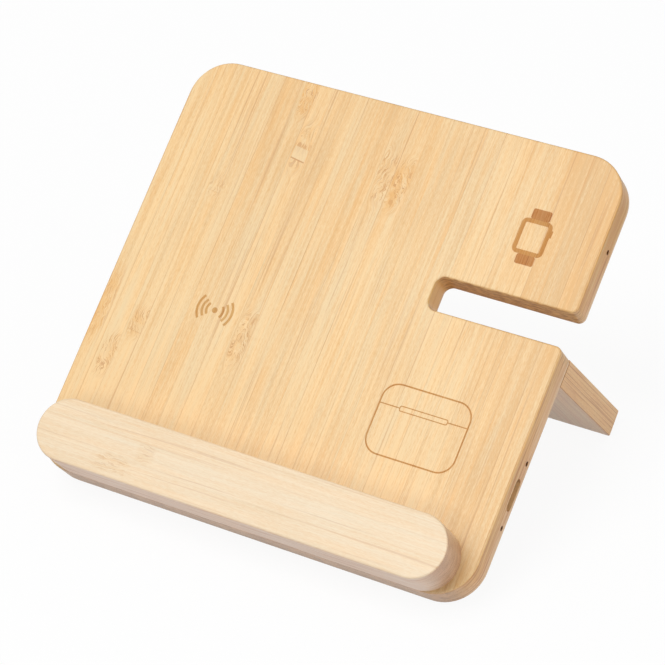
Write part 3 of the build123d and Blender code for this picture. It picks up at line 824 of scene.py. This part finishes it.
def earbuds_sign():
    outline = rounded(CASE_LEFT, CASE_BOTTOM, CASE_RIGHT, CASE_TOP, CASE_CORNER, steps=10)
    catch = rounded(CATCH_LEFT, CATCH_BOTTOM, CATCH_RIGHT, CATCH_TOP, CATCH_CORNER, steps=5)
    left_run = [(CASE_LEFT + LID_CASE_GAP, LID_UP), (CATCH_LEFT - LID_CATCH_GAP, LID_UP)]
    right_run = [(CATCH_RIGHT + LID_CATCH_GAP, LID_UP), (CASE_RIGHT - LID_CASE_GAP, LID_UP)]
    burn("earbuds_sign", burnt_line, [(outline, CASE_LINE, True), (catch, CATCH_LINE, True),
                                      (left_run, LID_LINE, False), (right_run, LID_LINE, False)])


WATCH_LEFT, WATCH_BOTTOM, WATCH_RIGHT, WATCH_TOP = 164.95, 142.15, 176.65, 155.75
WATCH_CORNER = 1.5
WATCH_LINE = 1.8
CROWN_BOTTOM, CROWN_TOP = 150.5, 153.7
CROWN_RISE = 0.7
CROWN_CORNER = 0.3
STRAP_LEFT, STRAP_RIGHT = 167.0, 175.2
STRAP_CORNER = 0.8
STRAP_LENGTH = 4.5
LOWER_STRAP_LENGTH = 4.2
LOWER_STRAP_INSET = 0.2


def watch_sign():
    right = WATCH_RIGHT + WATCH_LINE / 2
    top = WATCH_TOP + WATCH_LINE / 2
    bottom = WATCH_BOTTOM - WATCH_LINE / 2
    body = rounded(WATCH_LEFT, WATCH_BOTTOM, WATCH_RIGHT, WATCH_TOP, WATCH_CORNER, steps=6)
    crown = rounded(right, CROWN_BOTTOM, right + CROWN_RISE, CROWN_TOP, CROWN_CORNER, steps=4)
    upper = rounded(STRAP_LEFT, top, STRAP_RIGHT, top + STRAP_LENGTH, STRAP_CORNER, steps=6)
    lower = rounded(STRAP_LEFT + LOWER_STRAP_INSET, bottom - LOWER_STRAP_LENGTH, STRAP_RIGHT, bottom,
                    STRAP_CORNER, steps=6)
    burn("watch_sign", burnt_line, [(body, WATCH_LINE, True)], [crown])
    burn("watch_sign_straps", burnt_patch, patches=[upper, lower])


phone_sign()
earbuds_sign()
watch_sign()


# What repeats or follows a path is made by node trees with named sizes

class Recipe(Tree):
    """A Geometry Nodes tree in board millimetres."""

    def __init__(self, name, **sizes):
        super().__init__(bpy.data.node_groups.new(name, "GeometryNodeTree"))
        self.name = name
        self.sizes = sizes
        face = self.tree.interface
        face.new_socket("Geometry", in_out="INPUT", socket_type="NodeSocketGeometry")
        for key in sizes:
            face.new_socket(key, in_out="INPUT", socket_type="NodeSocketFloat")
        face.new_socket("Geometry", in_out="OUTPUT", socket_type="NodeSocketGeometry")
        self.given = self.tree.nodes.new("NodeGroupInput").outputs

    def made(self, kind, *values, **named):
        """What a node makes, with its inputs named by their words joined with low lines."""
        inputs = {key.replace("_", " "): value for key, value in named.items()}
        return self.node("GeometryNode" + kind, *values, named=inputs).outputs[0]

    def moved(self, geometry, y=0.0, z=0.0):
        return self.made("Transform", Geometry=geometry, Translation=self.point(0.0, y, z))

    def repeated(self, points, instance):
        return self.made("InstanceOnPoints", Points=points, Instance=instance)

    def joined(self, *geometries):
        node = self.node("GeometryNodeJoinGeometry")
        for geometry in geometries:
            self.tree.links.new(geometry, node.inputs[0])
        return node.outputs[0]

    def grow(self, places, result, material, slot, *replaced):
        """Runs the tree on a mesh of places and keeps what it makes as a plain mesh."""
        real = self.made("RealizeInstances", result)
        covered = self.made("SetMaterial", Geometry=real, Material=material)
        self.join(covered, self.tree.nodes.new("NodeGroupOutput").inputs[0])
        mesh = bpy.data.meshes.new(self.name + "_places")
        mesh.from_pydata(places, [], [])
        plan = bpy.data.objects.new(self.name + "_plan", mesh)
        scene.collection.objects.link(plan)
        modifier = plan.modifiers.new("recipe", "NODES")
        modifier.node_group = self.tree
        for item in self.tree.interface.items_tree:
            if item.name in self.sizes:
                modifier[item.identifier] = self.sizes[item.name]
        graph = bpy.context.evaluated_depsgraph_get()
        finished = bpy.data.meshes.new_from_object(plan.evaluated_get(graph))
        bpy.data.objects.remove(plan)
        finished.name = self.name
        finished.transform(BOARD_TO_WORLD)
        return placed(self.name, finished, material, slot, *replaced)


# Countersunk screws with a cross recess, a threaded shank and a point

SCREW_INSET = 5.5
TOP_SCREW_INSET = 24.0
SIDE_SCREWS_UP = (18.0, 78.0)


def screw_places():
    middle = BOARD_WIDTH / 2
    places = [(across, up) for up in SIDE_SCREWS_UP for across in (SCREW_INSET, BOARD_WIDTH - SCREW_INSET)]
    places += [(across, BOARD_HEIGHT - SCREW_INSET)
               for across in (TOP_SCREW_INSET, middle, BOARD_WIDTH - TOP_SCREW_INSET)]
    places += [(middle, SCREW_INSET)]
    return [(across, up, -BOARD_BACK) for across, up in places]


def panel_screws():
    recipe = Recipe("cross_head_screws", head_radius=2.6, core_radius=0.95, thread_radius=1.3,
                    head_height=1.3, length=9.0, point_length=1.6, point_radius=0.05, pitch=0.9,
                    flank=0.16, recess_length=3.0, recess_width=0.62, recess_depth=1.7)
    size = recipe.given
    head = recipe.made("MeshCone", Vertices=28, Radius_Top=size["core_radius"],
                       Radius_Bottom=size["head_radius"], Depth=size["head_height"])
    blades = (recipe.point(size["recess_length"], size["recess_width"], size["recess_depth"]),
              recipe.point(size["recess_width"], size["recess_length"], size["recess_depth"]))
    cut = recipe.node("GeometryNodeMeshBoolean", operation="DIFFERENCE", solver="EXACT")
    recipe.join(head, cut.inputs["Mesh 1"])
    for blade in blades:
        recipe.join(recipe.made("MeshCube", Size=blade), cut.inputs["Mesh 2"])
    point_start = recipe.minus(size["length"], size["point_length"])
    core_length = recipe.minus(point_start, size["head_height"])
    core = recipe.made("MeshCylinder", Vertices=20, Radius=size["core_radius"], Depth=core_length)
    core = recipe.moved(core, z=recipe.plus(size["head_height"], recipe.times(core_length, 0.5)))
    tip = recipe.made("MeshCone", Vertices=20, Radius_Top=size["point_radius"],
                      Radius_Bottom=size["core_radius"], Depth=size["point_length"])
    tip = recipe.moved(tip, z=point_start)
    turns = recipe.math("DIVIDE", core_length, size["pitch"])
    reach = recipe.minus(size["thread_radius"], size["flank"])
    helix = recipe.made("CurveSpiral", Resolution=18, Rotations=turns, Start_Radius=reach,
                        End_Radius=reach, Height=core_length)
    flank = recipe.made("CurvePrimitiveCircle", Resolution=4, Radius=size["flank"])
    thread = recipe.moved(recipe.made("CurveToMesh", helix, flank), z=size["head_height"])
    screw = recipe.joined(cut.outputs[0], core, tip, thread)
    rows = recipe.repeated(size["Geometry"], screw)
    recipe.grow(screw_places(), rows, screw_steel, "screw_steel", "panel_screws")


# Charging coils: two flat layers of wire wound outwards

Charger = namedtuple("Charger", "name across up outer_radius inner_radius")
CHARGERS = (
    Charger("phone", 52.0, 83.0, outer_radius=22.0, inner_radius=10.0),
    Charger("earbuds", 156.0, 61.02, outer_radius=14.0, inner_radius=6.0),
    Charger("watch", 171.0, 149.51, outer_radius=11.0, inner_radius=5.0),
)
COIL_FRONT = 3.0
WIRE = 0.9
WIRE_GAP = 0.03


def charging_coil(charger):
    recipe = Recipe(charger.name + "_winding", outer_radius=charger.outer_radius,
                    inner_radius=charger.inner_radius, wire=WIRE)
    size = recipe.given
    half_wire = recipe.times(size["wire"], 0.5)
    first = recipe.plus(size["inner_radius"], half_wire)
    last = recipe.minus(size["outer_radius"], half_wire)
    turns = recipe.math("DIVIDE", recipe.minus(last, first), size["wire"])
    flat = recipe.made("CurveSpiral", Resolution=40, Rotations=turns, Start_Radius=first,
                       End_Radius=last, Height=0.0)
    section = recipe.made("CurvePrimitiveCircle", Resolution=8,
                          Radius=recipe.times(size["wire"], 0.5 * (1.0 - WIRE_GAP)))
    layer = recipe.made("CurveToMesh", flat, section, Fill_Caps=True)
    rows = recipe.repeated(size["Geometry"], layer)
    layers = [(charger.across, charger.up, -COIL_FRONT - (i + 0.5) * WIRE) for i in range(2)]
    recipe.grow(layers, rows, coil_copper, "copper_wire", charger.name + "_coil")


# Contacts on both faces of the socket's tongue

SOCKET_DEPTH = 8.4
TONGUE_END = 193.7
TONGUE_HALF = 0.35
CONTACT_INSET = 1.6
CONTACT_COUNT = 12


def tongue_contacts():
    recipe = Recipe("tongue_contacts", contact_width=0.26, contact_length=2.6, contact_rise=0.03, pitch=0.5)
    size = recipe.given
    outline = recipe.made("CurvePrimitiveQuadrilateral", Width=size["contact_length"],
                          Height=size["contact_width"])
    outline = recipe.made("FilletCurve", Curve=outline, Radius=recipe.times(size["contact_width"], 0.35))
    pad = recipe.made("ExtrudeMesh", Mesh=recipe.made("FillCurve", outline),
                      Offset_Scale=size["contact_rise"])
    row = recipe.made("MeshLine", Count=CONTACT_COUNT, Offset=recipe.point(0.0, size["pitch"], 0.0))
    row = recipe.moved(row, y=recipe.times(size["pitch"], -(CONTACT_COUNT - 1) / 2))
    rows = recipe.repeated(size["Geometry"], recipe.repeated(row, pad))
    faces = [(TONGUE_END - CONTACT_INSET, SOCKET_UP, -SOCKET_DEPTH + side * TONGUE_HALF)
             for side in (1, -1)]
    recipe.grow(faces, rows, contact_gold, "socket_steel")


panel_screws()
for charger in CHARGERS:
    charging_coil(charger)
tongue_contacts()


# Floor, light and camera

FLOOR_HALF = 3.0
FLOOR_GLOW = 0.92
FLOOR_BOUNCE = (0.69, 0.68, 0.80, 1.0)
SKY_COLOUR = (0.97, 0.985, 1.0, 1.0)
SKY_STRENGTH = 0.42
LAMP_TARGET = Vector((0.0, 0.0, 0.05))


def floor_paint():
    """White to the camera, with the object's shadow, and tinted where it lights the object."""
    finish = Finish("floor_paint", roughness=0.9, specular=0.1)
    seen = finish.node("ShaderNodeLightPath").outputs["Is Camera Ray"]
    finish.join(finish.mix(seen, FLOOR_BOUNCE, WHITE), finish.shader.inputs["Base Color"])
    white = finish.node("ShaderNodeEmission", named={"Strength": 1.0})
    glow = finish.times(finish.finds_white(), FLOOR_GLOW)
    blend = finish.node("ShaderNodeMixShader", glow, finish.shader.outputs[0], white.outputs[0])
    finish.join(blend.outputs[0], finish.tree.nodes["Material Output"].inputs["Surface"])
    return finish.material


def pale_floor():
    corners = [(FLOOR_HALF * x, FLOOR_HALF * y, 0.0) for x, y in ((-1, -1), (1, -1), (1, 1), (-1, 1))]
    mesh = bpy.data.meshes.new("floor")
    mesh.from_pydata(corners, [], [(0, 1, 2, 3)])
    thing = bpy.data.objects.new("floor", mesh)
    scene.collection.objects.link(thing)
    dress(thing, floor_paint())
    return thing


def studio():
    """Soft light from all round. The camera, glossy and see-through rays find it white."""
    world = bpy.data.worlds.new("studio")
    world.use_nodes = True
    scene.world = world
    sky = Tree(world.node_tree)
    soft = world.node_tree.nodes["Background"]
    soft.inputs["Color"].default_value = SKY_COLOUR
    soft.inputs["Strength"].default_value = SKY_STRENGTH
    white = sky.node("ShaderNodeBackground", WHITE, 1.0)
    blend = sky.node("ShaderNodeMixShader", sky.finds_white(), soft.outputs[0], white.outputs[0])
    sky.join(blend.outputs[0], world.node_tree.nodes["World Output"].inputs["Surface"])


def soft_box(place, power, size):
    """A square lamp that faces the object."""
    data = bpy.data.lights.new("soft_box", "AREA")
    data.shape = "SQUARE"
    data.size = size
    data.energy = power
    lamp = bpy.data.objects.new("soft_box", data)
    lamp.location = place
    lamp.rotation_euler = (LAMP_TARGET - Vector(place)).to_track_quat("-Z", "Y").to_euler()
    scene.collection.objects.link(lamp)


CAMERA_PLACE = Vector((0.466817, -0.785912, 0.704561))
CAMERA_FORWARD = Vector((-0.415298, 0.704122, -0.575969))
CAMERA_RIGHT = Vector((0.871248, 0.489973, -0.029215))
SENSOR_WIDTH = 36.0
LENS = 149.02


def camera_at_photo_angle():
    data = bpy.data.cameras.new("camera")
    data.sensor_width = SENSOR_WIDTH
    data.lens = LENS
    camera = bpy.data.objects.new("camera", data)
    turned = Matrix((CAMERA_RIGHT, CAMERA_RIGHT.cross(CAMERA_FORWARD), -CAMERA_FORWARD)).transposed()
    camera.matrix_world = Matrix.Translation(CAMERA_PLACE) @ turned.to_4x4()
    scene.collection.objects.link(camera)
    return camera


floor = pale_floor()
studio()
soft_box(place=(-0.45, -1.18, 2.55), power=41.0, size=1.6)
soft_box(place=(1.9, -0.5, 0.9), power=7.0, size=1.4)
scene.view_settings.view_transform = "Standard"
scene.camera = camera_at_photo_angle()
